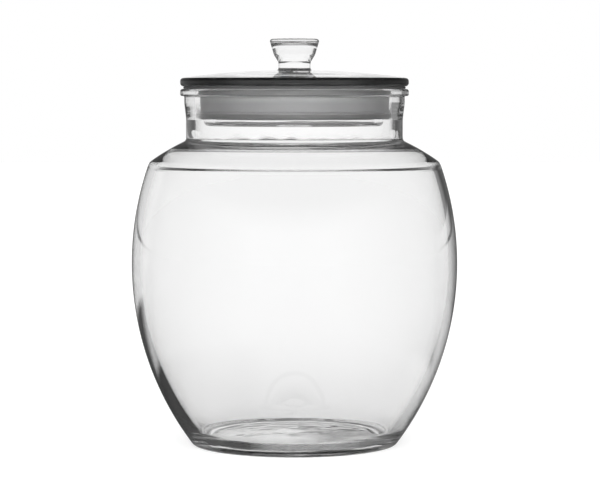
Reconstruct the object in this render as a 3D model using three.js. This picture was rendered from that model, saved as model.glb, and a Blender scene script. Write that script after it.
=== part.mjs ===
// A glass storage jar with a push-in lid: a barrel-shaped jar with a straight neck, a pressed glass
// lid with a knob and a hollow plug, and a soft finned seal stretched over the plug.
// Millimetres, +Z up. The origin is the middle of the foot that the jar stands on.

import * as THREE from 'three';

// Barrel of the jar
const barrelRadius = 98; // outside, at its widest ring
const widestHeight = 109.3; // of that ring above the foot
const barrelCurve = 181; // radius of the side from heel to shoulder
const barrelHeight = 170.3; // up to the corner where the shoulder begins
const barrelWall = 5; // at its widest ring, and above it
const lowerInnerCurve = 166; // radius of the inside below that ring, smaller so that the wall thickens

// Foot and floor of the jar
const heelRound = 4;
const footWidth = 4.5; // of the flat ring that the jar stands on
const footStep = 0.9; // from that ring up into the hollow under the floor
const footSlant = 1.5; // sideways run of that step
const pushUp = 1.8; // height of the hollow at its middle
const floorThickness = 3.2; // at the middle
const floorRound = 22; // inside, from floor to wall

// Shoulder and neck of the jar
const shoulderRise = 13.2; // from the barrel's corner to the foot of the neck
const shoulderBow = 0.6; // outward bow of the shoulder between them
const shoulderRound = 7;
const innerShoulder = 34; // radius of the inside between barrel and bore
const neckHeight = 30.9; // from its foot to the rim
const boreRadius = 58.9;
const neckWall = 6.2;
const neckFootRound = 2.2;
const boreFootDrop = 3.2; // of the bore below the outer foot of the neck
const boreFootRound = 1.5;
const collarStep = 1.1; // the neck is this much thicker under the rim
const collarHeight = 8.5;
const collarTaper = 9; // height over which the collar thins to the neck
const collarRound = 12; // of both ends of that taper
const beadReach = 2.4; // of the rim's bead beyond the collar
const beadHeight = 4.3;
const beadRound = 1.6;
const lipRound = 1.2; // inner edge of the rim

// Lid
const discEdge = 4.8; // height of the disc's rim
const discRound = 2;
const discRise = 4.8; // of its domed top above that rim
const discThickness = 10; // under the dome, over the hollow
const plugClearance = 4.5; // between plug and neck, bridged by the seal
const plugDepth = 23.7;
const plugWall = 6;
const plugRound = 2.9;
const hollowRound = 5;

// Knob, one with the lid
const knobRadius = 15.2; // at its top edge
const knobBaseRadius = 12.3; // at the lower edge of its grip
const knobWaist = 9.6;
const knobNeck = 4.9; // from the dome to the underside of the grip
const knobUndercut = 4.4; // slant of that underside
const knobGrip = 9.5; // height of the grip
const knobCrown = 0.9; // rise of its top
const knobFootRound = 1.5;
const knobWaistRound = 3;
const knobBaseRound = 3.5;
const knobTopRound = 1.5;

// Seal
const flangeThickness = 1.5;
const flangeInset = 1.9; // from the disc's edge
const flangeRound = 0.4;
const sleeveThickness = 2.1;
const plugShow = 5; // bare foot of the plug below the seal
const upperFinDrop = 1; // from the rim to the upper fin
const finFall = 2.4; // slant of a fin's long face
const finTip = 0.9;
const finBack = 0.7; // slant of its short face

// Fits and facets
const slipGap = 0.3; // seal to plug, and seal to neck
const facets = 48; // round the axis
const barrelSteps = 6; // up the barrel's side, below its widest ring and above it
const shoulderSteps = 4; // up the inside of the shoulder
const domeSteps = 4;
const arcStep = THREE.MathUtils.degToRad(26); // most that a rounded corner turns in one facet

// Places that follow from those sizes
const neckRadius = boreRadius + neckWall;
const collarRadius = neckRadius + collarStep;
const beadRadius = collarRadius + beadReach;
const neckFoot = barrelHeight + shoulderRise;
const rimHeight = neckFoot + neckHeight;
const discRadius = beadRadius;
const plugRadius = boreRadius - plugClearance;

const corner = (r, z, round = 0) => ({ r, z, round });

// Points of an outline, with every rounded corner as an arc that touches both of its sides.
// The arc takes up less than half of either side, so a short side makes it smaller.
function outlinePoints(corners) {
  const mostOfSide = 0.48;
  const place = ({ r, z }) => new THREE.Vector2(r, z);
  return corners.flatMap((here, i) => {
    const at = place(here);
    if (!here.round) return [at];
    const arriving = at.clone().sub(place(corners[i - 1]));
    const leaving = place(corners[i + 1]).sub(at);
    const turn = Math.atan2(arriving.cross(leaving), arriving.dot(leaving));
    const halfTan = Math.tan(Math.abs(turn) / 2);
    const shortSide = Math.min(arriving.length(), leaving.length());
    const reach = Math.min(here.round * halfTan, mostOfSide * shortSide);
    const start = at.clone().sub(arriving.setLength(reach));
    const inward = new THREE.Vector2(-arriving.y, arriving.x);
    const centre = start.clone().add(inward.setLength(reach / halfTan).multiplyScalar(Math.sign(turn)));
    const steps = Math.max(2, Math.round(Math.abs(turn) / arcStep));
    const arcPoint = (k) => start.clone().rotateAround(centre, (turn * k) / steps);
    return Array.from({ length: steps + 1 }, (_, k) => arcPoint(k));
  });
}

// Corners along a curve, which may be rounded at its first and last corner
function curveCorners(from, to, steps, cornerAt, firstRound = 0, lastRound = 0) {
  return Array.from({ length: steps + 1 }, (_, k) => {
    const { r, z } = cornerAt(THREE.MathUtils.lerp(from, to, k / steps));
    const endRound = k === steps ? lastRound : 0;
    return corner(r, z, k === 0 ? firstRound : endRound);
  });
}

// Corners along an arc about a point, from one place on it to another
function arcCorners(middle, from, to, steps, firstRound, lastRound) {
  const radius = from.distanceTo(middle);
  const angleOf = (place) => Math.atan2(place.y - middle.y, place.x - middle.x);
  const cornerAt = (angle) => corner(middle.x + radius * Math.cos(angle), middle.y + radius * Math.sin(angle));
  return curveCorners(angleOf(from), angleOf(to), steps, cornerAt, firstRound, lastRound);
}

// Place at a height on a side that bulges outwards about a point
function sidePoint(middle, radius, z) {
  return new THREE.Vector2(middle.x + Math.sqrt(radius ** 2 - (z - middle.y) ** 2), z);
}

// Middle of an arc that passes through a place and touches a larger circle from inside
function touchingMiddle(middle, radius, through, arc) {
  const way = through.clone().sub(middle);
  const reach = way.length();
  way.normalize();
  const along = ((radius - arc) ** 2 - arc ** 2 + reach ** 2) / (2 * reach);
  const aside = Math.sqrt((radius - arc) ** 2 - along ** 2);
  return new THREE.Vector2(middle.x + way.x * along + way.y * aside, middle.y + way.y * along - way.x * aside);
}

// The barrel's outside is one arc about this point, and so is its inside above the widest ring
const barrelMiddle = new THREE.Vector2(barrelRadius - barrelCurve, widestHeight);

// Outside from the heel over the barrel and the shoulder to the foot of the neck
function outerCorners() {
  const heel = sidePoint(barrelMiddle, barrelCurve, 0);
  const widest = new THREE.Vector2(barrelRadius, widestHeight);
  const low = sidePoint(barrelMiddle, barrelCurve, barrelHeight);
  const high = new THREE.Vector2(neckRadius, neckFoot);
  const along = high.clone().sub(low).normalize();
  const bowed = low.clone().lerp(high, 0.5);
  bowed.add(new THREE.Vector2(along.y, -along.x).multiplyScalar(shoulderBow));
  return [
    ...arcCorners(barrelMiddle, heel, widest, barrelSteps, heelRound),
    ...arcCorners(barrelMiddle, widest, low, barrelSteps, 0, shoulderRound).slice(1),
    corner(bowed.x, bowed.y),
    corner(high.x, high.y, neckFootRound),
  ];
}

// Inside from the foot of the bore down to the floor: three arcs that run into each other
function innerCorners(floorTop) {
  const boreFoot = new THREE.Vector2(boreRadius, neckFoot - boreFootDrop);
  const innerCurve = barrelCurve - barrelWall;
  const shoulderMiddle = touchingMiddle(barrelMiddle, innerCurve, boreFoot, innerShoulder);
  const toTouch = shoulderMiddle.clone().sub(barrelMiddle).setLength(innerCurve);
  const touch = barrelMiddle.clone().add(toTouch);
  const widest = new THREE.Vector2(barrelRadius - barrelWall, widestHeight);
  const lowerMiddle = new THREE.Vector2(widest.x - lowerInnerCurve, widestHeight);
  const floorEdge = sidePoint(lowerMiddle, lowerInnerCurve, floorTop);
  return [
    ...arcCorners(shoulderMiddle, boreFoot, touch, shoulderSteps, boreFootRound),
    ...arcCorners(barrelMiddle, touch, widest, barrelSteps).slice(1),
    ...arcCorners(lowerMiddle, widest, floorEdge, barrelSteps, 0, floorRound).slice(1),
  ];
}

function jarOutline() {
  const floorTop = pushUp + floorThickness;
  const heelRadius = sidePoint(barrelMiddle, barrelCurve, 0).x;
  const heelTangent = heelRound * Math.tan(Math.acos(widestHeight / barrelCurve) / 2);
  const footInner = heelRadius - heelTangent - footWidth;
  const hollowRadius = footInner - footSlant;
  const hollowAt = (r) => corner(r, pushUp + (footStep - pushUp) * (r / hollowRadius) ** 2);
  const collarFoot = rimHeight - collarHeight;
  return outlinePoints([
    ...curveCorners(0, hollowRadius, domeSteps, hollowAt),
    corner(footInner, 0),
    ...outerCorners(),
    corner(neckRadius, collarFoot - collarTaper, collarRound),
    corner(collarRadius, collarFoot, collarRound),
    corner(collarRadius, rimHeight - beadHeight),
    corner(beadRadius, rimHeight - beadHeight, beadRound),
    corner(beadRadius, rimHeight, beadRound),
    corner(boreRadius, rimHeight, lipRound),
    ...innerCorners(floorTop),
    corner(0, floorTop),
  ]);
}

// Heights of the lid and the seal are counted from the rim
function lidOutline() {
  const underside = flangeThickness;
  const discTop = underside + discEdge;
  const domeAt = (r) => corner(r, discTop + discRise * (1 - (r / discRadius) ** 2));
  const hollowAt = (r) => corner(r, domeAt(r).z - discThickness);
  const plugFoot = underside - plugDepth;
  const hollowRadius = plugRadius - plugWall;
  const gripBase = domeAt(knobWaist).z + knobNeck;
  const gripTop = gripBase + knobUndercut + knobGrip;
  return outlinePoints([
    ...curveCorners(0, hollowRadius, domeSteps, hollowAt, 0, hollowRound),
    corner(hollowRadius, plugFoot, plugRound),
    corner(plugRadius, plugFoot, plugRound),
    corner(plugRadius, underside),
    corner(discRadius, underside, discRound),
    corner(discRadius, discTop, discRound),
    ...curveCorners(discRadius - discRound * 2, knobWaist, domeSteps, domeAt, 0, knobFootRound),
    corner(knobWaist, gripBase, knobWaistRound),
    corner(knobBaseRadius, gripBase + knobUndercut, knobBaseRound),
    corner(knobRadius, gripTop, knobTopRound),
    corner(0, gripTop + knobCrown),
  ]);
}

// A fin: its long face slants from the sleeve to the tip, its short face comes back.
// direction is 1 for a fin that opens upwards from its long face and -1 for the reverse.
function finCorners(sleeveRadius, rootHeight, direction) {
  const tipRadius = boreRadius - slipGap;
  const heights = [0, finFall, finFall + finTip, finFall + finTip + finBack];
  const radii = [sleeveRadius, tipRadius, tipRadius, sleeveRadius];
  return heights.map((h, k) => corner(radii[k], rootHeight + direction * h));
}

function sealOutline() {
  const innerRadius = plugRadius + slipGap;
  const sleeveRadius = innerRadius + sleeveThickness;
  const flangeRadius = discRadius - flangeInset;
  const sealFoot = flangeThickness - plugDepth + plugShow;
  const upperFin = finCorners(sleeveRadius, -upperFinDrop, -1).reverse();
  const start = corner(innerRadius, sealFoot);
  return outlinePoints([
    start,
    ...finCorners(sleeveRadius, sealFoot, 1),
    ...upperFin,
    corner(sleeveRadius, 0),
    corner(flangeRadius, 0, flangeRound),
    corner(flangeRadius, flangeThickness, flangeRound),
    corner(innerRadius, flangeThickness),
    start,
  ]);
}

function turned(name, outline, material) {
  const geometry = new THREE.LatheGeometry(outline, facets);
  geometry.rotateX(Math.PI / 2);
  const mesh = new THREE.Mesh(geometry, material);
  mesh.name = name;
  return mesh;
}

const clearGlass = () =>
  new THREE.MeshStandardMaterial({
    color: 0xf1f4f4,
    roughness: 0.04,
    metalness: 0,
    transparent: true,
    opacity: 0.35,
  });

const greySilicone = () =>
  new THREE.MeshStandardMaterial({
    color: 0x7d7d7d,
    roughness: 0.6,
    metalness: 0,
  });

const lid = new THREE.Group();
lid.position.z = rimHeight;
lid.add(turned('glass_lid', lidOutline(), clearGlass()));
lid.add(turned('seal', sealOutline(), greySilicone()));

const storageJar = new THREE.Group();
storageJar.add(turned('glass_jar', jarOutline(), clearGlass()));
storageJar.add(lid);

export default storageJar;
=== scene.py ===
import math

import bmesh
import bpy
from mathutils import Matrix, Vector, noise


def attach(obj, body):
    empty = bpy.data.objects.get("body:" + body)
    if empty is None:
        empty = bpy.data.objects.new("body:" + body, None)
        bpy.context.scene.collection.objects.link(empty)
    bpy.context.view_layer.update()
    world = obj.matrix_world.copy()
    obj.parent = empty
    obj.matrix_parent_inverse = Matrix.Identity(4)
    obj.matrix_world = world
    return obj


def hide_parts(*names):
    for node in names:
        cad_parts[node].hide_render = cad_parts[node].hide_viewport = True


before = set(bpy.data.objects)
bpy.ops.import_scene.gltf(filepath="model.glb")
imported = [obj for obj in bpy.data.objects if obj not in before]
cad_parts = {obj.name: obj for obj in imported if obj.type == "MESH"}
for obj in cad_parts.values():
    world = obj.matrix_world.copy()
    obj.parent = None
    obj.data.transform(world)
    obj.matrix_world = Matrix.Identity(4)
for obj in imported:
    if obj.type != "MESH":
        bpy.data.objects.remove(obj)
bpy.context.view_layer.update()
scene = bpy.context.scene
scene.view_settings.view_transform = "Standard"
mm = 0.001
print("frame loaded:", sorted(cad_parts))

# Sizes in millimetres, those of the CAD part but for innerShoulder
barrel = {
    "radius": 98,
    "widestHeight": 109.3,
    "curve": 181,  # radius of the side from heel to shoulder
    "height": 170.3,
    "wall": 5,  # where the barrel is widest
    "lowerInnerCurve": 166,  # smaller than the outside's, so that the wall grows towards the heel
}
foot = {
    "heelRound": 4,
    "width": 4.5,
    "step": 0.9,
    "slant": 1.5,
    "edgeRound": 0.8,
    "pushUp": 1.8,
    "floorThickness": 3.2,
    "floorRound": 22,
}
neck = {
    "shoulderRise": 13.2,
    "shoulderBow": 0.6,
    "shoulderRound": 7,
    "innerShoulder": 23,  # radius of the inside between bore and barrel, tighter than the CAD part's
    "height": 30.9,
    "bore": 58.9,
    "wall": 6.2,
    "footRound": 2.2,
    "boreFootDrop": 3.2,  # of the bore below the neck's foot
    "boreFootRound": 1.5,
    "collarStep": 1.1,
    "collarHeight": 8.5,
    "collarTaper": 9,
    "collarRound": 12,
    "beadReach": 2.4,
    "beadHeight": 4.3,
    "beadRound": 1.6,
    "beadFillet": 0.6,
    "lipRound": 1.2,
}
lid = {
    "discEdge": 4.8,
    "discRound": 2,
    "discRise": 4.8,
    "discThickness": 10,
    "plugClearance": 4.5,
    "plugDepth": 23.7,
    "plugWall": 6,
    "plugRound": 2.9,
    "plugFillet": 0.8,
    "hollowRound": 5,
}
knob = {
    "radius": 15.2,
    "baseRadius": 12.3,
    "waist": 9.6,
    "neck": 4.9,
    "undercut": 4.4,
    "grip": 9.5,
    "crown": 0.9,
    "footRound": 1.5,
    "waistRound": 3,
    "baseRound": 3.5,
    "topRound": 1.5,
}
seal = {
    "flangeThickness": 1.5,
    "flangeInset": 1.9,
    "flangeRound": 0.4,
    "sleeve": 2.1,
    "plugShow": 5,
    "upperFinDrop": 1,
    "finFall": 2.4,
    "finTip": 0.9,
    "finBack": 0.7,
    "finRound": 0.35,
    "slipGap": 0.3,
    "airGap": 0.06,  # film of air between the flange and the glass above and below it
}
mesh = {
    "segments": 256,  # round the axis
    "stretch": 2.2,  # longest step along a side
    "support": 0.15,  # first and last step of a side, which keeps the shading of round corners off it
    "turn": math.radians(7),  # largest step round a corner
    "cornerShare": 0.48,  # most of a side that a round may take
    "weld": 0.002,
}
neckRadius = neck["bore"] + neck["wall"]
collarRadius = neckRadius + neck["collarStep"]
beadRadius = collarRadius + neck["beadReach"]
neckFoot = barrel["height"] + neck["shoulderRise"]
rimHeight = neckFoot + neck["height"]
plugRadius = neck["bore"] - lid["plugClearance"]


def corner(r, z, round=0, curve=0):
    # curve is the radius of the side that arrives here, plus when it bulges to the right of the way
    return {"at": Vector((r, z)), "round": round, "curve": curve}


def leftOf(way):
    return Vector((-way.y, way.x))


def turned(way, angle):
    return Matrix.Rotation(angle, 2) @ way


def sweepOf(start, end, curve):
    # angle that a bowed side turns through, none when it is straight
    return 2 * math.asin((end - start).length / (2 * curve)) if curve else 0


def besideEnd(start, end, curve, reach, fromStart):
    # point on a side at some way from one end, and the direction of the outline there
    chord = end - start
    sweep = sweepOf(start, end, curve)
    if not curve:
        way = chord.normalized()
        return (start + way * reach if fromStart else end - way * reach), way
    along = reach / abs(curve) * (1 if curve > 0 else -1)
    if fromStart:
        way = turned(chord.normalized(), -sweep / 2)
        centre = start + leftOf(way) * curve
        return centre + turned(start - centre, along), turned(way, along)
    way = turned(chord.normalized(), sweep / 2)
    centre = end + leftOf(way) * curve
    return centre + turned(end - centre, -along), turned(way, -along)


def stepsOf(length, sweep, held):
    # shares of a side at which it gets points
    count = max(1, math.ceil(length / mesh["stretch"]), math.ceil(abs(sweep) / mesh["turn"]))
    shares = [k / count for k in range(1, count + 1)]
    edge = mesh["support"] / length
    if held and edge < 0.2:
        inner = [edge + share * (1 - 2 * edge) for share in shares]
        shares = [edge] + inner + [1]
    return shares


def sweepTo(bm, tip, end, curve, held=True):
    # draws one side from the tip of the outline, straight by extruding or bowed by spinning
    start = Vector((tip.co.x, tip.co.z)) / mm
    length = (end - start).length
    if length < 1e-6:
        return tip
    sweep = sweepOf(start, end, curve)
    if curve:
        way = turned((end - start).normalized(), -sweep / 2)
        centre = start + leftOf(way) * curve
    done = 0
    for share in stepsOf(length, sweep, held):
        if curve:
            made = bmesh.ops.spin(
                bm, geom=[tip], cent=Vector((centre.x, 0, centre.y)) * mm, axis=(0, -1, 0),
                angle=sweep * (share - done), steps=1, use_duplicate=False,
            )
            tip = made["geom_last"][0]
        else:
            tip = bmesh.ops.extrude_vert_indiv(bm, verts=[tip])["verts"][0]
            at = start.lerp(end, share) * mm
            tip.co = (at.x, 0, at.y)
        done = share
    return tip


def drawSection(corners):
    # half of a turned piece's section, its sides joined by tangent arcs
    bm = bmesh.new()
    first = corners[0]["at"] * mm
    tip = bm.verts.new((first.x, 0, first.y))
    for k in range(1, len(corners)):
        here = corners[k]
        before = corners[k - 1]["at"]
        if not here["round"]:
            tip = sweepTo(bm, tip, here["at"], here["curve"])
            continue
        after = corners[k + 1]
        _, arriving = besideEnd(before, here["at"], here["curve"], 0, False)
        _, leaving = besideEnd(here["at"], after["at"], after["curve"], 0, True)
        turn = math.atan2(arriving.cross(leaving), arriving.dot(leaving))
        sides = min((here["at"] - before).length, (after["at"] - here["at"]).length)
        reach = min(here["round"] * math.tan(abs(turn) / 2), mesh["cornerShare"] * sides)
        start, arriving = besideEnd(before, here["at"], here["curve"], reach, False)
        end, leaving = besideEnd(here["at"], after["at"], after["curve"], reach, True)
        turn = math.atan2(arriving.cross(leaving), arriving.dot(leaving))
        tip = sweepTo(bm, tip, start, here["curve"])
        tip = sweepTo(bm, tip, end, (end - start).length / (2 * math.sin(turn / 2)), False)
    return bm


def turnSection(bm):
    # spins the section round the axis into one closed body
    bmesh.ops.spin(
        bm, geom=bm.verts[:] + bm.edges[:], cent=(0, 0, 0), axis=(0, 0, 1),
        angle=math.tau, steps=mesh["segments"], use_merge=True, use_duplicate=False,
    )
    bmesh.ops.remove_doubles(bm, verts=bm.verts, dist=mesh["weld"] * mm)
    bmesh.ops.recalc_face_normals(bm, faces=bm.faces)


ripples = {
    "heights": {"floor": 0.12, "barrel": 0.05, "shoulder": 0.08, "neck": 0.06, "lid": 0.03},
    # lengths over which they change, across the axis and along it
    "spread": {"floor": (10, 10), "barrel": (40, 70), "shoulder": (7, 12), "neck": (6, 80)},
    "underSpread": 11,  # the same for the hollow under the base
    "underSeed": 7,
    "fineSpread": 4.5,  # of the small waves on the floor
    "fineShare": 0.3,
    "lidSpread": 11,
    "underRadius": 52,
    "floorRadius": 62,
    "floorHeight": 20,
    "shoulderDrop": 20,  # below the barrel's top, where the finer waves start
    "neckStart": 3,  # above the neck's foot
}


def waveAt(at, zone):
    across, along = ripples["spread"][zone]
    return noise.noise(Vector((at.x / across, at.y / across, at.z / along)))


def rippleJar(bm):
    # uneven inner face of blown glass: slow waves on the barrel, finer ones in the floor and the neck
    heights = ripples["heights"]
    for vert in bm.verts:
        at = vert.co / mm
        radius = math.hypot(at.x, at.y)
        skin = barrelSkin(0, min(max(at.z, 0), barrel["height"]))
        outside = radius > skin - 1 or radius > neckRadius - 1
        under = at.z < foot["pushUp"] + 0.5
        if under and radius < ripples["underRadius"]:
            spread = ripples["underSpread"]
            place = Vector((at.x / spread, at.y / spread, ripples["underSeed"]))
            depth = heights["floor"] * noise.noise(place)
        elif under or outside:
            continue
        elif at.z < ripples["floorHeight"] and radius < ripples["floorRadius"]:
            fine = noise.noise(at / ripples["fineSpread"])
            depth = heights["floor"] * (waveAt(at, "floor") + ripples["fineShare"] * fine)
        elif at.z < barrel["height"] - ripples["shoulderDrop"]:
            depth = heights["barrel"] * waveAt(at, "barrel")
        elif at.z < neckFoot + ripples["neckStart"]:
            depth = heights["shoulder"] * waveAt(at, "shoulder")
        else:
            depth = heights["neck"] * waveAt(at, "neck")
        vert.co += vert.normal * depth * mm


def rippleLid(bm):
    for vert in bm.verts:
        at = vert.co / mm
        if at.z < rimHeight or (at.z < rimHeight + 12 and math.hypot(at.x, at.y) < beadRadius - 4):
            wave = noise.noise(at / ripples["lidSpread"])
            vert.co += vert.normal * ripples["heights"]["lid"] * wave * mm


def finishPiece(bm, name, material, body, node):
    for face in bm.faces:
        face.smooth = True
    data = bpy.data.meshes.new(name)
    bm.to_mesh(data)
    bm.free()
    piece = bpy.data.objects.new(name, data)
    scene.collection.objects.link(piece)
    data.materials.append(material)
    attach(piece, body)
    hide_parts(node)
    print("piece made:", name, len(data.polygons), "faces")
    return piece


def barrelSkin(depth, z):
    # radius of the barrel at a height, for the skin at some depth under its outside
    return barrel["radius"] - barrel["curve"] + math.sqrt(
        (barrel["curve"] - depth) ** 2 - (z - barrel["widestHeight"]) ** 2
    )


def arcRadius(halfWidth, rise):
    return (halfWidth ** 2 + rise ** 2) / (2 * rise)


def tangentArc(middle, radius, through, arc):
    # where an arc through a point touches a larger circle from inside
    toPoint = through - middle
    reach = toPoint.length
    along = ((radius - arc) ** 2 - arc ** 2 + reach ** 2) / (2 * reach)
    aside = math.sqrt((radius - arc) ** 2 - along ** 2)
    way = toPoint / reach
    centre = middle + way * along - leftOf(way) * aside
    return middle + (centre - middle).normalized() * radius


def jarSection():
    floorTop = foot["pushUp"] + foot["floorThickness"]
    heelRadius = barrelSkin(0, 0)
    heelTangent = foot["heelRound"] * math.tan(math.acos(barrel["widestHeight"] / barrel["curve"]) / 2)
    footInner = heelRadius - heelTangent - foot["width"]
    hollowRadius = footInner - foot["slant"]
    hollowCurve = arcRadius(hollowRadius, foot["pushUp"] - foot["step"])
    shoulderLow = Vector((barrelSkin(0, barrel["height"]), barrel["height"]))
    shoulderHigh = Vector((neckRadius, neckFoot))
    shoulderCurve = arcRadius((shoulderHigh - shoulderLow).length / 2, neck["shoulderBow"])
    # the inside of the shoulder is one arc from the bore to the barrel's inner skin
    boreFoot = Vector((neck["bore"], neckFoot - neck["boreFootDrop"]))
    innerCurve = barrel["curve"] - barrel["wall"]
    barrelMiddle = Vector((barrel["radius"] - barrel["curve"], barrel["widestHeight"]))
    innerLow = tangentArc(barrelMiddle, innerCurve, boreFoot, neck["innerShoulder"])
    innerWidest = barrel["radius"] - barrel["wall"]
    lowerCurve = barrel["lowerInnerCurve"]
    floorDrop = barrel["widestHeight"] - floorTop
    floorRadius = innerWidest - lowerCurve + math.sqrt(lowerCurve ** 2 - floorDrop ** 2)
    collarFoot = rimHeight - neck["collarHeight"]
    beadFoot = rimHeight - neck["beadHeight"]
    return drawSection([
        corner(0, foot["pushUp"]),
        corner(hollowRadius, foot["step"], foot["edgeRound"], -hollowCurve),
        corner(footInner, 0, foot["edgeRound"]),
        corner(heelRadius, 0, foot["heelRound"]),
        corner(shoulderLow.x, shoulderLow.y, neck["shoulderRound"], barrel["curve"]),
        corner(neckRadius, neckFoot, neck["footRound"], shoulderCurve),
        corner(neckRadius, collarFoot - neck["collarTaper"], neck["collarRound"]),
        corner(collarRadius, collarFoot, neck["collarRound"]),
        corner(collarRadius, beadFoot, neck["beadFillet"]),
        corner(beadRadius, beadFoot, neck["beadRound"]),
        corner(beadRadius, rimHeight, neck["beadRound"]),
        corner(neck["bore"], rimHeight, neck["lipRound"]),
        corner(boreFoot.x, boreFoot.y, neck["boreFootRound"]),
        corner(innerLow.x, innerLow.y, 0, -neck["innerShoulder"]),
        corner(innerWidest, barrel["widestHeight"], 0, -innerCurve),
        corner(floorRadius, floorTop, foot["floorRound"], -lowerCurve),
        corner(0, floorTop),
    ])


def lidSection():
    underside = rimHeight + seal["flangeThickness"]
    discTop = underside + lid["discEdge"]
    domeCurve = arcRadius(beadRadius, lid["discRise"])

    def dome(r):
        return discTop + lid["discRise"] - domeCurve + math.sqrt(domeCurve ** 2 - r ** 2)

    plugFoot = underside - lid["plugDepth"]
    hollowRadius = plugRadius - lid["plugWall"]
    gripBase = dome(knob["waist"]) + knob["neck"]
    gripTop = gripBase + knob["undercut"] + knob["grip"]
    return drawSection([
        corner(0, dome(0) - lid["discThickness"]),
        corner(hollowRadius, dome(hollowRadius) - lid["discThickness"], lid["hollowRound"], -domeCurve),
        corner(hollowRadius, plugFoot, lid["plugRound"]),
        corner(plugRadius, plugFoot, lid["plugRound"]),
        corner(plugRadius, underside, lid["plugFillet"]),
        corner(beadRadius, underside, lid["discRound"]),
        corner(beadRadius, discTop, lid["discRound"]),
        corner(knob["waist"], dome(knob["waist"]), knob["footRound"], domeCurve),
        corner(knob["waist"], gripBase, knob["waistRound"]),
        corner(knob["baseRadius"], gripBase + knob["undercut"], knob["baseRound"]),
        corner(knob["radius"], gripTop, knob["topRound"]),
        corner(0, gripTop + knob["crown"]),
    ])


def finCorners(sleeveRadius, rootHeight, direction):
    tipRadius = neck["bore"] - seal["slipGap"]
    tipHeight = seal["finFall"] + seal["finTip"]
    heights = [0, seal["finFall"], tipHeight, tipHeight + seal["finBack"]]
    radii = [sleeveRadius, tipRadius, tipRadius, sleeveRadius]
    return [corner(r, rootHeight + direction * h, seal["finRound"]) for r, h in zip(radii, heights)]


def sealSection():
    innerRadius = plugRadius + seal["slipGap"]
    sleeveRadius = innerRadius + seal["sleeve"]
    flangeRadius = beadRadius - seal["flangeInset"]
    sealFoot = rimHeight + seal["flangeThickness"] - lid["plugDepth"] + seal["plugShow"]
    flangeFoot = rimHeight + seal["airGap"]
    flangeTop = rimHeight + seal["flangeThickness"] - seal["airGap"]
    middle = (sealFoot + rimHeight) / 2
    return drawSection([
        corner(innerRadius, middle),
        corner(innerRadius, sealFoot, seal["flangeRound"]),
        *finCorners(sleeveRadius, sealFoot, 1),
        *reversed(finCorners(sleeveRadius, rimHeight - seal["upperFinDrop"], -1)),
        corner(sleeveRadius, flangeFoot, seal["flangeRound"]),
        corner(flangeRadius, flangeFoot, seal["flangeRound"]),
        corner(flangeRadius, flangeTop, seal["flangeRound"]),
        corner(innerRadius, flangeTop, seal["flangeRound"]),
        corner(innerRadius, middle),
    ])


def newMaterial(name):
    material = bpy.data.materials.new(name)
    material.use_nodes = True
    nodes = material.node_tree.nodes
    return material, nodes, material.node_tree.links, nodes["Principled BSDF"]


def mathNode(tree, operation, first, second):
    node = tree.nodes.new("ShaderNodeMath")
    node.operation = operation
    for socket, value in zip(node.inputs, (first, second)):
        if isinstance(value, (int, float)):
            socket.default_value = value
        else:
            tree.links.new(value, socket)
    return node.outputs[0]


def mixNode(tree, factor, first, second):
    node = tree.nodes.new("ShaderNodeMix")
    for name, value in (("Factor", factor), ("A", first), ("B", second)):
        if isinstance(value, (int, float)):
            node.inputs[name].default_value = value
        else:
            tree.links.new(value, node.inputs[name])
    return node.outputs["Result"]


glass = {
    "tint": (1, 1, 1, 1),
    "ior": 1.52,
    "absorption": 1.5,  # per metre of path
    "rippleScale": 38,  # per metre
    "rippleDepth": 0.00003,
}
# painted shade for the lid's glass edge: near-black colour where the glass is clear
paintedRimShade = {"colour": (0.02, 0.02, 0.02, 1), "start": 0.1}  # the lid's edge, from this far above its underside


def paintRimShade(material, low, high):
    # painted shade: a near-black base colour on the lid's edge band stands in for the dark edge that
    # mirrored dark surroundings give there; the rest of the lid keeps the clear tint
    tree = material.node_tree
    nodes, links = tree.nodes, tree.links
    parts = nodes.new("ShaderNodeSeparateXYZ")
    links.new(nodes.new("ShaderNodeTexCoord").outputs["Object"], parts.inputs[0])
    tint = nodes.new("ShaderNodeMix")
    tint.data_type = "RGBA"
    tint.inputs["A"].default_value = glass["tint"]
    tint.inputs["B"].default_value = paintedRimShade["colour"]
    above = mathNode(tree, "GREATER_THAN", parts.outputs["Z"], low * mm)
    below = mathNode(tree, "LESS_THAN", parts.outputs["Z"], high * mm)
    links.new(mathNode(tree, "MULTIPLY", above, below), tint.inputs["Factor"])
    links.new(tint.outputs["Result"], nodes["Principled BSDF"].inputs["Base Color"])


def clearGlass(name):
    material, nodes, links, shader = newMaterial(name)
    shader.inputs["Base Color"].default_value = glass["tint"]
    shader.inputs["Roughness"].default_value = 0
    shader.inputs["IOR"].default_value = glass["ior"]
    shader.inputs["Transmission Weight"].default_value = 1
    place = nodes.new("ShaderNodeTexCoord")
    ripple = nodes.new("ShaderNodeTexNoise")
    ripple.inputs["Scale"].default_value = glass["rippleScale"]
    ripple.inputs["Detail"].default_value = 1
    bump = nodes.new("ShaderNodeBump")
    bump.inputs["Strength"].default_value = 1
    bump.inputs["Distance"].default_value = glass["rippleDepth"]
    links.new(place.outputs["Object"], ripple.inputs["Vector"])
    links.new(ripple.outputs["Fac"], bump.inputs["Height"])
    links.new(bump.outputs["Normal"], shader.inputs["Normal"])
    depth = nodes.new("ShaderNodeVolumeAbsorption")
    depth.inputs["Color"].default_value = (0, 0, 0, 1)
    depth.inputs["Density"].default_value = glass["absorption"]
    links.new(depth.outputs["Volume"], nodes["Material Output"].inputs["Volume"])
    return material


silicone = {
    "roughness": 0.5,
    "mottle": 0.1,
    "mottleScale": 60,  # per metre
    # painted shade by height in mm: the flange near-black as if shaded under the lid's edge, darker towards
    # the bottom and lightest near the upper fin, as light from above would make them
    "greys": [(196, 0.16), (199.6, 0.19), (200.2, 0.26), (206, 0.28), (208, 0.38), (213.7, 0.42),
              (214.4, 0.06)],
}


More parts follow.
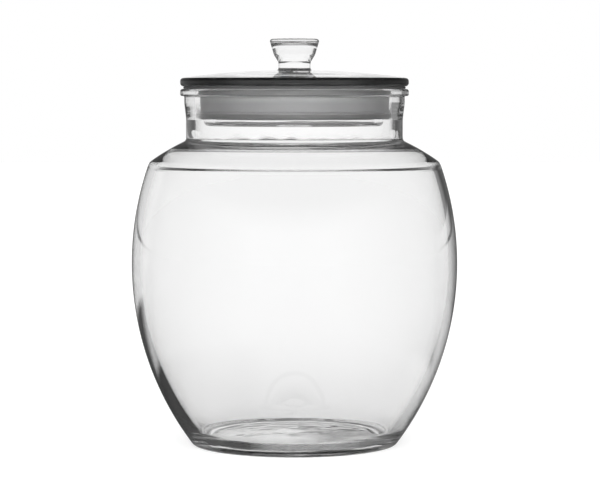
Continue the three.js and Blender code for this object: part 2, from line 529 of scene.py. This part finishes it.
def siliconeWithPaintedShade(name):
    material, nodes, links, shader = newMaterial(name)
    place = nodes.new("ShaderNodeTexCoord").outputs["Object"]
    cloud = nodes.new("ShaderNodeTexNoise")
    cloud.inputs["Scale"].default_value = silicone["mottleScale"]
    parts = nodes.new("ShaderNodeSeparateXYZ")
    height = nodes.new("ShaderNodeMapRange")
    lowest, highest = silicone["greys"][0][0], silicone["greys"][-1][0]
    height.inputs["From Min"].default_value = lowest * mm
    height.inputs["From Max"].default_value = highest * mm
    # painted shade: the grey follows height instead of being one silicone colour
    ramp = nodes.new("ShaderNodeValToRGB")
    elements = ramp.color_ramp.elements
    while len(elements) < len(silicone["greys"]):
        elements.new(0.5)
    for element, (z, grey) in zip(elements, silicone["greys"]):
        element.position = (z - lowest) / (highest - lowest)
        element.color = (grey, grey, grey, 1)
    mottle = nodes.new("ShaderNodeMix")
    mottle.data_type = "RGBA"
    mottle.blend_type = "MULTIPLY"
    mottle.inputs["Factor"].default_value = silicone["mottle"]
    links.new(place, cloud.inputs["Vector"])
    links.new(place, parts.inputs[0])
    links.new(parts.outputs["Z"], height.inputs["Value"])
    links.new(height.outputs["Result"], ramp.inputs["Fac"])
    links.new(ramp.outputs["Color"], mottle.inputs["A"])
    links.new(cloud.outputs["Fac"], mottle.inputs["B"])
    links.new(mottle.outputs["Result"], shader.inputs["Base Color"])
    shader.inputs["Roughness"].default_value = silicone["roughness"]
    return material


jarGlass = clearGlass("jarGlass")
lidGlass = clearGlass("lidGlass")
lidUnderside = rimHeight + seal["flangeThickness"]
# the lid's edge band gets painted shade
paintRimShade(lidGlass, lidUnderside + paintedRimShade["start"], lidUnderside + lid["discEdge"])
sealSilicone = siliconeWithPaintedShade("sealSilicone")

bm = jarSection()
turnSection(bm)
bm.normal_update()
rippleJar(bm)
finishPiece(bm, "jar_shell", jarGlass, "jar", "glass_jar")

bm = lidSection()
turnSection(bm)
bm.normal_update()
rippleLid(bm)
finishPiece(bm, "lid_with_knob", lidGlass, "lid", "glass_lid")

bm = sealSection()
turnSection(bm)
finishPiece(bm, "finned_seal", sealSilicone, "lid", "seal")

studio = {
    "skyLight": {"all": 0.05, "above": 0.75, "front": 9, "back": 3},  # of the world on dull surfaces
    "floorColour": {"seen": 0.5, "lit": 0.2},
    "floorLift": {"camera": 0.6, "glass": 0.4},  # glow that brings the lit floor up to white
    "floorSize": 12,
    "underFoot": 0.0001,  # film of air that keeps the foot and the floor apart
    "floorMirror": 0.02,  # slope from which what the jar's floor mirrors has its own greys
    "neckBand": (-0.019, -0.007),  # slopes just below eye level, which the wall of the neck mirrors
    "eyeLevel": (-0.035, 0.035),  # slopes of the wider band that the knob and the rim mirror
    "overhead": (0.2, 0.3),  # slopes over which the room turns dark above
    "skinTop": (0.3, 0.4),  # and the same for what the outside mirrors
    "overheadShade": 0.06,
    "backdropTop": (0.1, 0.18),  # slopes over which what is seen through the glass turns dark
    "nearFloor": (0.17, 0.2),  # metres from the jar at which the near shades give way to the middle ones
    "farFloor": (0.54, 0.68),  # and the middle ones to the far ones
}
# Greys of the room and the floor, for what is mirrored inside the glass wall, by degrees from +Y towards
# +X; on the floor they are painted shade, the near ones a painted shadow round the jar
wallShades = {
    "room": [(-150, 0.85), (-130, 0.3), (-58, 0.3), (-48, 0.85), (-9, 0.9), (-6, 0.3),
             (-3, 0.3), (-2, 0.9), (2, 0.9), (3, 0.05), (24, 0.06), (30, 0.3),
             (130, 0.3), (150, 0.85)],
    "eyeLevel": [(-150, 0.85), (-130, 0.3), (-58, 0.3), (-48, 0.85), (-9, 0.9), (-6, 0.5),
                 (-3, 0.5), (-2, 0.9), (2, 0.9), (3, 0.08), (22, 0.08), (30, 0.8),
                 (45, 0.8), (58, 0.3), (130, 0.3), (150, 0.85)],
    "neckBand": [(-150, 0.85), (-130, 0.3), (-48, 0.3), (-38, 0.1), (-9, 0.1), (-4, 0.8),
                 (4, 0.8), (9, 0.1), (38, 0.1), (48, 0.3), (130, 0.3), (150, 0.85)],
    "far": [(-150, 0.72), (-130, 0.26), (-58, 0.26), (-48, 0.7), (-14, 0.75), (-10, 0.25),
            (-5, 0.12), (9, 0.08), (14, 0.25), (24, 0.4), (34, 0.65), (45, 0.65),
            (58, 0.26), (130, 0.26), (150, 0.72)],
    "middle": [(-150, 0.72), (-130, 0.26), (-62, 0.26), (-50, 0.6), (-42, 0.3), (-35, 0.04),
               (-1, 0.04), (8, 0.1), (14, 0.3), (24, 0.45), (40, 0.65), (48, 0.65),
               (60, 0.26), (130, 0.26), (150, 0.72)],
    "near": [(-165, 0.72), (-150, 0.03), (-6, 0.03), (0, 0.15), (12, 0.4), (30, 0.75),
             (90, 0.7), (115, 0.3), (130, 0.3), (150, 0.72)],
    # near too, mirrored often
    "deep": [(-180, 0.03), (0, 0.03), (5, 0.6), (60, 0.6), (95, 0.3), (140, 0.1)],
}
# What the outside of the glass mirrors; the near and far greys are painted shade on the floor
skinShades = {
    "room": [(-130, 0.95), (-100, 0.25), (-10, 0.12), (-5, 0.12), (-4, 1), (4, 1),
             (5, 0.12), (40, 0.12), (100, 0.25), (130, 0.95)],
    "eyeLevel": [(-130, 0.95), (-100, 0.25), (-12, 0.25), (-8, 0.12), (8, 0.12), (40, 0.12),
                 (100, 0.25), (130, 0.95)],
    "far": [(-130, 0.8), (-100, 0.22), (-30, 0.22), (-20, 0.1), (40, 0.1), (100, 0.22),
            (130, 0.8)],
    "near": [(-130, 0.8), (-100, 0.22), (-60, 0.1), (20, 0.1), (30, 0.3), (100, 0.22),
             (130, 0.8)],
}
# What the jar's own floor mirrors
floorShades = [(1.2, 0.95), (1.8, 0.04), (8, 0.04), (10, 0.95)]


def shadeByDirection(tree, direction, stops):
    # grey by compass direction, through a ramp over the whole circle
    nodes, links = tree.nodes, tree.links
    parts = nodes.new("ShaderNodeSeparateXYZ")
    angle = nodes.new("ShaderNodeMath")
    angle.operation = "ARCTAN2"
    share = nodes.new("ShaderNodeMapRange")
    share.inputs["From Min"].default_value = -math.pi
    share.inputs["From Max"].default_value = math.pi
    ramp = nodes.new("ShaderNodeValToRGB")
    links.new(direction, parts.inputs[0])
    links.new(parts.outputs["X"], angle.inputs[0])
    links.new(parts.outputs["Y"], angle.inputs[1])
    links.new(angle.outputs[0], share.inputs["Value"])
    links.new(share.outputs["Result"], ramp.inputs["Fac"])
    places = sorted(((degrees + 180) % 360 / 360, shade) for degrees, shade in stops)
    elements = ramp.color_ramp.elements
    while len(elements) < len(places):
        elements.new(0.5)
    for element, (place, shade) in zip(elements, places):
        element.position = place
        element.color = (shade, shade, shade, 1)
    return ramp.outputs["Color"]


def rayKinds(tree):
    # which rays show the backdrop, and which were mirrored on the glass, in its wall or on the jar's floor
    path = tree.nodes.new("ShaderNodeLightPath").outputs
    shows = mathNode(tree, "MAXIMUM", path["Is Camera Ray"], path["Is Glossy Ray"])
    shows = mathNode(tree, "MAXIMUM", shows, path["Is Transmission Ray"])
    shows = mathNode(tree, "MULTIPLY", shows, mathNode(tree, "LESS_THAN", path["Diffuse Depth"], 0.5))
    mirrored = mathNode(tree, "MULTIPLY", mathNode(tree, "MINIMUM", path["Glossy Depth"], 1), shows)
    straight = mathNode(tree, "MULTIPLY", shows, mathNode(tree, "LESS_THAN", path["Glossy Depth"], 0.5))
    faces = path["Transmission Depth"]
    wall = mathNode(tree, "COMPARE", faces, 2)
    return {
        "path": path,
        "shows": shows,
        "deep": mathNode(tree, "GREATER_THAN", path["Glossy Depth"], 2.5),
        "skin": mathNode(tree, "MULTIPLY", mirrored, mathNode(tree, "LESS_THAN", faces, 0.5)),
        "wall": mathNode(tree, "MULTIPLY", mirrored, wall),
        "once": mathNode(tree, "MULTIPLY", shows, wall),
        "floor": mathNode(tree, "MULTIPLY", mirrored, mathNode(tree, "GREATER_THAN", faces, 3.5)),
        "through": mathNode(tree, "MULTIPLY", straight, mathNode(tree, "GREATER_THAN", faces, 2.5)),
    }


def bandNode(tree, value, limits):
    # 1 between the limits, 0 outside them
    above = mathNode(tree, "GREATER_THAN", value, limits[0])
    return mathNode(tree, "MULTIPLY", above, mathNode(tree, "LESS_THAN", value, limits[1]))


def riseNode(tree, value, limits):
    # from 0 at the first limit to 1 at the second
    node = tree.nodes.new("ShaderNodeMapRange")
    node.inputs["From Min"].default_value, node.inputs["From Max"].default_value = limits
    tree.links.new(value, node.inputs["Value"])
    return node.outputs["Result"]


def makeWorld():
    world = bpy.data.worlds.new("softRoom")
    world.use_nodes = True
    tree = world.node_tree
    nodes, links = tree.nodes, tree.links
    background = nodes["Background"]
    background.inputs["Color"].default_value = (1, 1, 1, 1)
    direction = nodes.new("ShaderNodeTexCoord").outputs["Generated"]
    kinds = rayKinds(tree)
    parts = nodes.new("ShaderNodeSeparateXYZ")
    links.new(direction, parts.inputs[0])
    slope = parts.outputs["Z"]
    sky = studio["skyLight"]["all"]
    for side, axis, sign, power in (("above", "Z", 1, 2), ("front", "Y", -1, 4), ("back", "Y", 1, 4)):
        facing = mathNode(tree, "MULTIPLY", parts.outputs[axis], sign)
        facing = mathNode(tree, "POWER", mathNode(tree, "MAXIMUM", facing, 0), power)
        facing = mathNode(tree, "MULTIPLY", facing, studio["skyLight"][side])
        sky = mathNode(tree, "ADD", facing, sky)
    level = mixNode(tree, kinds["shows"], sky, 1)
    atEye = bandNode(tree, slope, studio["eyeLevel"])
    skin = mixNode(tree, atEye, shadeByDirection(tree, direction, skinShades["room"]),
                   shadeByDirection(tree, direction, skinShades["eyeLevel"]))
    skin = mixNode(tree, riseNode(tree, slope, studio["skinTop"]), skin, studio["overheadShade"])
    level = mixNode(tree, kinds["skin"], level, skin)
    dark = mathNode(tree, "MULTIPLY", kinds["through"], riseNode(tree, slope, studio["backdropTop"]))
    level = mixNode(tree, dark, level, studio["overheadShade"])
    wall = shadeByDirection(tree, direction, wallShades["room"])
    wall = mixNode(tree, riseNode(tree, slope, studio["overhead"]), wall, studio["overheadShade"])
    wall = mixNode(tree, atEye, wall, shadeByDirection(tree, direction, wallShades["eyeLevel"]))
    wall = mixNode(tree, bandNode(tree, slope, studio["neckBand"]), wall,
                   shadeByDirection(tree, direction, wallShades["neckBand"]))
    level = mixNode(tree, kinds["wall"], level, wall)
    rising = mathNode(tree, "GREATER_THAN", slope, studio["floorMirror"])
    fromFloor = mathNode(tree, "MULTIPLY", kinds["floor"], rising)
    level = mixNode(tree, fromFloor, level, shadeByDirection(tree, direction, floorShades))
    links.new(level, background.inputs["Strength"])
    scene.world = world


def stagePlane(name, matrix, material):
    bm = bmesh.new()
    bmesh.ops.create_grid(bm, x_segments=1, y_segments=1, size=0.5, matrix=matrix)
    data = bpy.data.meshes.new(name)
    bm.to_mesh(data)
    bm.free()
    data.materials.append(material)
    plane = bpy.data.objects.new(name, data)
    scene.collection.objects.link(plane)
    return plane


def makeFloor():
    material, nodes, links, shader = newMaterial("floorWhite")
    tree = material.node_tree
    shader.inputs["Roughness"].default_value = 1
    shader.inputs["Specular IOR Level"].default_value = 0
    shader.inputs["Emission Color"].default_value = (1, 1, 1, 1)
    place = nodes.new("ShaderNodeTexCoord").outputs["Object"]
    kinds = rayKinds(tree)
    length = nodes.new("ShaderNodeVectorMath")
    length.operation = "LENGTH"
    links.new(place, length.inputs[0])
    distance = length.outputs["Value"]
    beyondNear = riseNode(tree, distance, studio["nearFloor"])
    beyondMiddle = riseNode(tree, distance, studio["farFloor"])
    # the glow is for what is seen straight or through the glass, not for what is mirrored
    lift = mixNode(tree, kinds["path"]["Is Camera Ray"], studio["floorLift"]["glass"],
                   studio["floorLift"]["camera"])
    lift = mathNode(tree, "MULTIPLY", lift, kinds["shows"])
    lift = mixNode(tree, mathNode(tree, "MAXIMUM", kinds["skin"], kinds["once"]), lift, 0)
    links.new(lift, shader.inputs["Emission Strength"])
    # painted shade on the floor: for rays mirrored in the glass, or passed once through its wall near the
    # jar, the floor's colour is the greys by direction and distance, near-black in places close to the jar
    # as a painted shadow
    colour = mixNode(tree, kinds["shows"], studio["floorColour"]["lit"], studio["floorColour"]["seen"])
    skin = mixNode(tree, beyondMiddle, shadeByDirection(tree, place, skinShades["near"]),
                   shadeByDirection(tree, place, skinShades["far"]))
    colour = mixNode(tree, kinds["skin"], colour, skin)
    wall = mixNode(tree, kinds["deep"], shadeByDirection(tree, place, wallShades["near"]),
                   shadeByDirection(tree, place, wallShades["deep"]))
    wall = mixNode(tree, beyondNear, wall, shadeByDirection(tree, place, wallShades["middle"]))
    wall = mixNode(tree, beyondMiddle, wall, shadeByDirection(tree, place, wallShades["far"]))
    colour = mixNode(tree, mixNode(tree, beyondNear, kinds["once"], kinds["wall"]), colour, wall)
    links.new(colour, shader.inputs["Base Color"])
    size = Matrix.Diagonal((studio["floorSize"],) * 3 + (1,))
    stagePlane("floor", Matrix.Translation((0, 0, -studio["underFoot"])) @ size, material)


camera = {
    "lens": 150,
    "sensor": 36,
    "distance": 1.505,
    "height": 0.2125,
    "aside": 0.0033,
    "tilt": 3.616,  # degrees down
}


def makeCamera():
    data = bpy.data.cameras.new("photoCamera")
    data.lens = camera["lens"]
    data.sensor_width = camera["sensor"]
    viewer = bpy.data.objects.new("photoCamera", data)
    viewer.location = (camera["aside"], -camera["distance"], camera["height"])
    viewer.rotation_euler = (math.radians(90 - camera["tilt"]), 0, 0)
    scene.collection.objects.link(viewer)
    scene.camera = viewer


makeWorld()
makeFloor()
makeCamera()
print("stage made")
scene.cycles.max_bounces = 24
scene.cycles.transmission_bounces = 24
scene.cycles.glossy_bounces = 12
